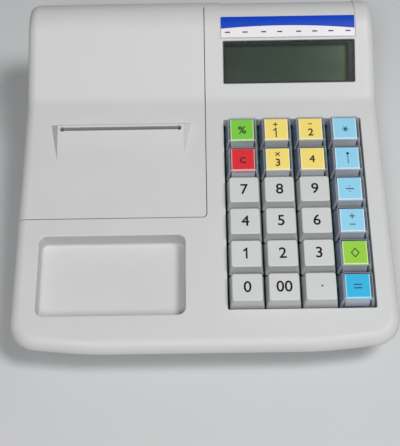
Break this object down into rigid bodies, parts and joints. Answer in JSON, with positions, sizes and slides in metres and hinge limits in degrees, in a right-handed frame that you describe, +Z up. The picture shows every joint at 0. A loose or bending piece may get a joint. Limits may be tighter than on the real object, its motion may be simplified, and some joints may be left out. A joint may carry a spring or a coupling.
{
  "type": "ticket register",
  "caption": "Wedge-shaped desktop ticket register: sprung keyboard, sloping display, hinged printer cover with a paper exit slot, and a coin tray.",
  "frame": {"origin": "on the table, under the middle of the case's bounding box", "axes": "+Z up; +Y to the rear, away from the operator; +X to the operator's right"},
  "size_m": [0.2034, 0.2114, 0.076],
  "materials": {
    "case_grey": "fine moulded satin",
    "key_white": "satin",
    "cap_clear": "clear, polished",
    "label_green": "matt",
    "label_red": "matt",
    "label_yellow": "matt",
    "label_pale_blue": "matt",
    "label_cyan": "matt",
    "window_dark": "polished",
    "lcd_green": "satin",
    "strip_blue": "printed satin film",
    "rubber_black": "matt",
    "steel": "brushed",
    "paper_white": "matt",
    "board_green": "satin",
    "gear_white": "satin",
    "plastic_black": "satin"
  },
  "bodies": {
    "case": {"base_shell": "case_grey", "top_housing": "case_grey", "cover_hinge_pin": "steel", "name_strip": "strip_blue", "printer_frame": "steel", "print_head": "plastic_black", "power_socket": "plastic_black", "drive_motor": "steel", "display_window": "window_dark", "lcd_panel": "lcd_green", "main_board": "board_green", "case_screw_front_left": "steel", "case_screw_front_right": "steel", "case_screw_rear_left": "steel", "case_screw_rear_right": "steel", "foot_front_left": "rubber_black", "foot_front_right": "rubber_black", "foot_rear_left": "rubber_black", "foot_rear_right": "rubber_black"},
    "cover": {"printer_cover": "case_grey"},
    "roll": {"paper_roll": "paper_white"},
    "platen": {"platen_roller": "rubber_black", "platen_gear": "gear_white"},
    "pinion": {"motor_pinion": "gear_white"},
    "key_r1_c1": {"keycap_r1_c1": "cap_clear", "key_label_r1_c1": "label_green"},
    "key_r1_c2": {"keycap_r1_c2": "cap_clear", "key_label_r1_c2": "label_yellow"},
    "key_r1_c3": {"keycap_r1_c3": "cap_clear", "key_label_r1_c3": "label_yellow"},
    "key_r1_c4": {"keycap_r1_c4": "cap_clear", "key_label_r1_c4": "label_pale_blue"},
    "key_r2_c1": {"keycap_r2_c1": "cap_clear", "key_label_r2_c1": "label_red"},
    "key_r2_c2": {"keycap_r2_c2": "cap_clear", "key_label_r2_c2": "label_yellow"},
    "key_r2_c3": {"keycap_r2_c3": "cap_clear", "key_label_r2_c3": "label_yellow"},
    "key_r2_c4": {"keycap_r2_c4": "cap_clear", "key_label_r2_c4": "label_pale_blue"},
    "key_r3_c1": {"keycap_r3_c1": "key_white"},
    "key_r3_c2": {"keycap_r3_c2": "key_white"},
    "key_r3_c3": {"keycap_r3_c3": "key_white"},
    "key_r3_c4": {"keycap_r3_c4": "cap_clear", "key_label_r3_c4": "label_pale_blue"},
    "key_r4_c1": {"keycap_r4_c1": "key_white"},
    "key_r4_c2": {"keycap_r4_c2": "key_white"},
    "key_r4_c3": {"keycap_r4_c3": "key_white"},
    "key_r4_c4": {"keycap_r4_c4": "cap_clear", "key_label_r4_c4": "label_pale_blue"},
    "key_r5_c1": {"keycap_r5_c1": "key_white"},
    "key_r5_c2": {"keycap_r5_c2": "key_white"},
    "key_r5_c3": {"keycap_r5_c3": "key_white"},
    "key_r5_c4": {"keycap_r5_c4": "cap_clear", "key_label_r5_c4": "label_green"},
    "key_r6_c1": {"keycap_r6_c1": "key_white"},
    "key_r6_c2": {"keycap_r6_c2": "key_white"},
    "key_r6_c3": {"keycap_r6_c3": "key_white"},
    "key_r6_c4": {"keycap_r6_c4": "cap_clear", "key_label_r6_c4": "label_cyan"}
  },
  "joints": [
    {"name": "cover_hinge", "type": "hinge", "parent": "case", "child": "cover", "pos_m": [-0.04555, 0.10305, 0.05001], "axis": [-1, 0, 0], "range_deg": [0, 75]},
    {"name": "roll_spin", "type": "hinge", "parent": "case", "child": "roll", "pos_m": [-0.04555, 0.074, 0.0327], "axis": [1, 0, 0], "continuous": true},
    {"name": "platen_spin", "type": "hinge", "parent": "case", "child": "platen", "pos_m": [-0.04625, 0.0275, 0.03], "axis": [1, 0, 0], "continuous": true},
    {"name": "pinion_spin", "type": "hinge", "parent": "case", "child": "pinion", "pos_m": [-0.0054, 0.03789, 0.01961], "axis": [1, 0, 0], "continuous": true},
    {"name": "press_r1_c1", "type": "slide", "parent": "case", "child": "key_r1_c1", "axis": [0, 0.1564, -0.9877], "range_m": [0, 0.0035], "stiffness_N_per_m": 150, "springref_m": -0.001},
    {"name": "press_r1_c2", "type": "slide", "parent": "case", "child": "key_r1_c2", "axis": [0, 0.1564, -0.9877], "range_m": [0, 0.0035], "stiffness_N_per_m": 150, "springref_m": -0.001},
    {"name": "press_r1_c3", "type": "slide", "parent": "case", "child": "key_r1_c3", "axis": [0, 0.1564, -0.9877], "range_m": [0, 0.0035], "stiffness_N_per_m": 150, "springref_m": -0.001},
    {"name": "press_r1_c4", "type": "slide", "parent": "case", "child": "key_r1_c4", "axis": [0, 0.1564, -0.9877], "range_m": [0, 0.0035], "stiffness_N_per_m": 150, "springref_m": -0.001},
    {"name": "press_r2_c1", "type": "slide", "parent": "case", "child": "key_r2_c1", "axis": [0, 0.1564, -0.9877], "range_m": [0, 0.0035], "stiffness_N_per_m": 150, "springref_m": -0.001},
    {"name": "press_r2_c2", "type": "slide", "parent": "case", "child": "key_r2_c2", "axis": [0, 0.1564, -0.9877], "range_m": [0, 0.0035], "stiffness_N_per_m": 150, "springref_m": -0.001},
    {"name": "press_r2_c3", "type": "slide", "parent": "case", "child": "key_r2_c3", "axis": [0, 0.1564, -0.9877], "range_m": [0, 0.0035], "stiffness_N_per_m": 150, "springref_m": -0.001},
    {"name": "press_r2_c4", "type": "slide", "parent": "case", "child": "key_r2_c4", "axis": [0, 0.1564, -0.9877], "range_m": [0, 0.0035], "stiffness_N_per_m": 150, "springref_m": -0.001},
    {"name": "press_r3_c1", "type": "slide", "parent": "case", "child": "key_r3_c1", "axis": [0, 0.1564, -0.9877], "range_m": [0, 0.0035], "stiffness_N_per_m": 150, "springref_m": -0.001},
    {"name": "press_r3_c2", "type": "slide", "parent": "case", "child": "key_r3_c2", "axis": [0, 0.1564, -0.9877], "range_m": [0, 0.0035], "stiffness_N_per_m": 150, "springref_m": -0.001},
    {"name": "press_r3_c3", "type": "slide", "parent": "case", "child": "key_r3_c3", "axis": [0, 0.1564, -0.9877], "range_m": [0, 0.0035], "stiffness_N_per_m": 150, "springref_m": -0.001},
    {"name": "press_r3_c4", "type": "slide", "parent": "case", "child": "key_r3_c4", "axis": [0, 0.1564, -0.9877], "range_m": [0, 0.0035], "stiffness_N_per_m": 150, "springref_m": -0.001},
    {"name": "press_r4_c1", "type": "slide", "parent": "case", "child": "key_r4_c1", "axis": [0, 0.1564, -0.9877], "range_m": [0, 0.0035], "stiffness_N_per_m": 150, "springref_m": -0.001},
    {"name": "press_r4_c2", "type": "slide", "parent": "case", "child": "key_r4_c2", "axis": [0, 0.1564, -0.9877], "range_m": [0, 0.0035], "stiffness_N_per_m": 150, "springref_m": -0.001},
    {"name": "press_r4_c3", "type": "slide", "parent": "case", "child": "key_r4_c3", "axis": [0, 0.1564, -0.9877], "range_m": [0, 0.0035], "stiffness_N_per_m": 150, "springref_m": -0.001},
    {"name": "press_r4_c4", "type": "slide", "parent": "case", "child": "key_r4_c4", "axis": [0, 0.1564, -0.9877], "range_m": [0, 0.0035], "stiffness_N_per_m": 150, "springref_m": -0.001},
    {"name": "press_r5_c1", "type": "slide", "parent": "case", "child": "key_r5_c1", "axis": [0, 0.1564, -0.9877], "range_m": [0, 0.0035], "stiffness_N_per_m": 150, "springref_m": -0.001},
    {"name": "press_r5_c2", "type": "slide", "parent": "case", "child": "key_r5_c2", "axis": [0, 0.1564, -0.9877], "range_m": [0, 0.0035], "stiffness_N_per_m": 150, "springref_m": -0.001},
    {"name": "press_r5_c3", "type": "slide", "parent": "case", "child": "key_r5_c3", "axis": [0, 0.1564, -0.9877], "range_m": [0, 0.0035], "stiffness_N_per_m": 150, "springref_m": -0.001},
    {"name": "press_r5_c4", "type": "slide", "parent": "case", "child": "key_r5_c4", "axis": [0, 0.1564, -0.9877], "range_m": [0, 0.0035], "stiffness_N_per_m": 150, "springref_m": -0.001},
    {"name": "press_r6_c1", "type": "slide", "parent": "case", "child": "key_r6_c1", "axis": [0, 0.1564, -0.9877], "range_m": [0, 0.0035], "stiffness_N_per_m": 150, "springref_m": -0.001},
    {"name": "press_r6_c2", "type": "slide", "parent": "case", "child": "key_r6_c2", "axis": [0, 0.1564, -0.9877], "range_m": [0, 0.0035], "stiffness_N_per_m": 150, "springref_m": -0.001},
    {"name": "press_r6_c3", "type": "slide", "parent": "case", "child": "key_r6_c3", "axis": [0, 0.1564, -0.9877], "range_m": [0, 0.0035], "stiffness_N_per_m": 150, "springref_m": -0.001},
    {"name": "press_r6_c4", "type": "slide", "parent": "case", "child": "key_r6_c4", "axis": [0, 0.1564, -0.9877], "range_m": [0, 0.0035], "stiffness_N_per_m": 150, "springref_m": -0.001}
  ],
  "couplings": [
    {"joint": "pinion_spin", "follows": "platen_spin", "ratio": -2.5}
  ]
}
